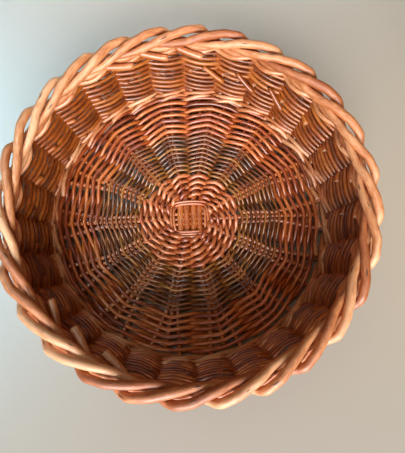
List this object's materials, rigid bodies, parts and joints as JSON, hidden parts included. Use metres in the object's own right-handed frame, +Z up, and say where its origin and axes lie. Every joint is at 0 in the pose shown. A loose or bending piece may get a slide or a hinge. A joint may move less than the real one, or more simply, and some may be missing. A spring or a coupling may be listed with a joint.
{
  "type": "winnowing basket",
  "caption": "Shallow round willow basket with a flat base, low flared side and a thick worked-down border, for winnowing, sorting or carrying.",
  "frame": {"origin": "on the floor, at the centre of the base", "axes": "+Z up through the open top; +X along one of the fourteen arms of the base's cross, +Y along the four pierced sticks of the cross"},
  "size_m": [0.3922, 0.3922, 0.1121],
  "materials": {
    "stick": "peeled willow, satin",
    "stake": "buff willow, satin",
    "buff": "buff willow weavers, satin",
    "olive": "brown willow weavers in their bark, olive, matt",
    "orange": "orange buff willow weavers, satin",
    "brown": "brown willow weavers in their bark, satin",
    "wale": "pale buff willow, satin",
    "border": "smooth orange buff willow, satin"
  },
  "bodies": {
    "root": {"through_stick_1": "stick", "through_stick_2": "stick", "through_stick_3": "stick", "pierced_stick_1": "stick", "pierced_stick_2": "stick", "pierced_stick_3": "stick", "pierced_stick_4": "stick", "slath_tie": "buff", "base_pairing_inner": "buff", "base_pairing_middle": "olive", "base_pairing_outer": "orange", "stake_01": "stake", "stake_02": "stake", "stake_03": "stake", "stake_04": "stake", "stake_05": "stake", "stake_06": "stake", "stake_07": "stake", "stake_08": "stake", "stake_09": "stake", "stake_10": "stake", "stake_11": "stake", "stake_12": "stake", "stake_13": "stake", "stake_14": "stake", "stake_15": "stake", "stake_16": "stake", "stake_17": "stake", "stake_18": "stake", "stake_19": "stake", "stake_20": "stake", "stake_21": "stake", "stake_22": "stake", "stake_23": "stake", "stake_24": "stake", "stake_25": "stake", "stake_26": "stake", "stake_27": "stake", "stake_28": "stake", "upsett_wale": "wale", "side_weave_lower": "brown", "side_weave_upper": "brown", "top_wale": "wale", "border": "border"}
  },
  "joints": []
}
